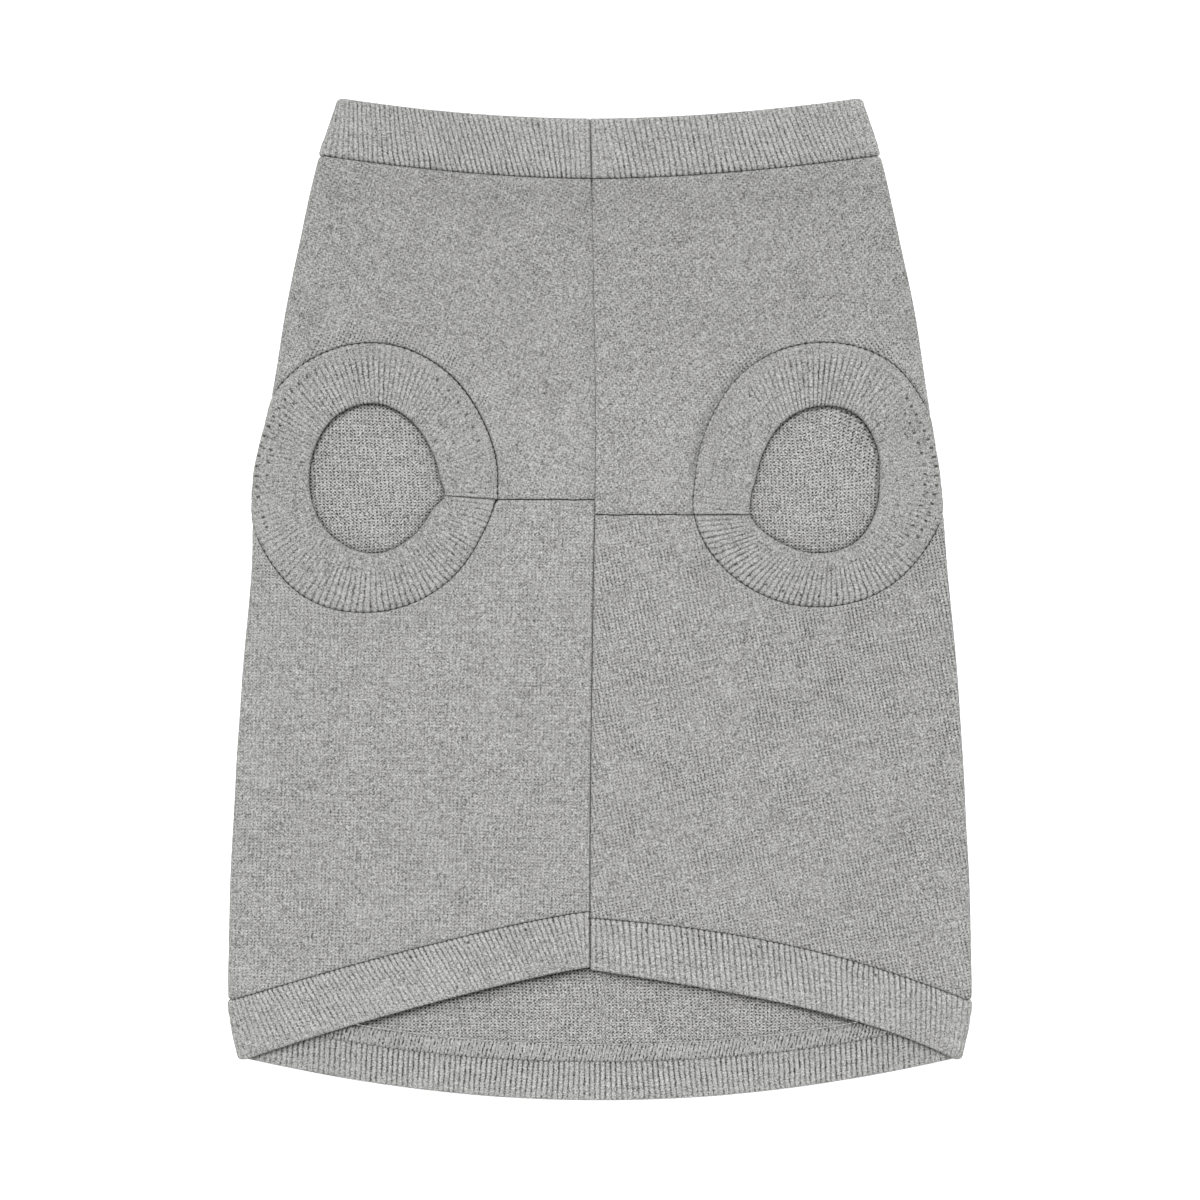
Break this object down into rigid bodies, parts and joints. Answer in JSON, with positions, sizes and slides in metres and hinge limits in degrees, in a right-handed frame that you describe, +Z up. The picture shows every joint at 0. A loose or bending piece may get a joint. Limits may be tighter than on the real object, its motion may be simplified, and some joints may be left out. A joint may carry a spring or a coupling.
{
  "type": "dog t-shirt",
  "caption": "Sleeveless knitted dog T-shirt laid flat, belly side up, with doubled rib bands at its neck, hem and leg openings.",
  "frame": {"origin": "on the surface that the garment lies on, under the middle of its bounding box", "axes": "+Y from the hem to the neck, +Z up from the back panel to the belly side, +X to the viewer's right when the belly side is seen with the neck at the top"},
  "size_m": [0.223, 0.3, 0.0043],
  "materials": {
    "fine_rib_knit": "matte heather grey jersey-weight fine rib knit",
    "band_rib_knit": "matte heather grey rib knit, doubled"
  },
  "bodies": {
    "root": {"body": "fine_rib_knit", "neck_band": "band_rib_knit", "hem_band": "band_rib_knit", "armhole_band_left": "band_rib_knit", "armhole_band_right": "band_rib_knit"}
  },
  "joints": []
}
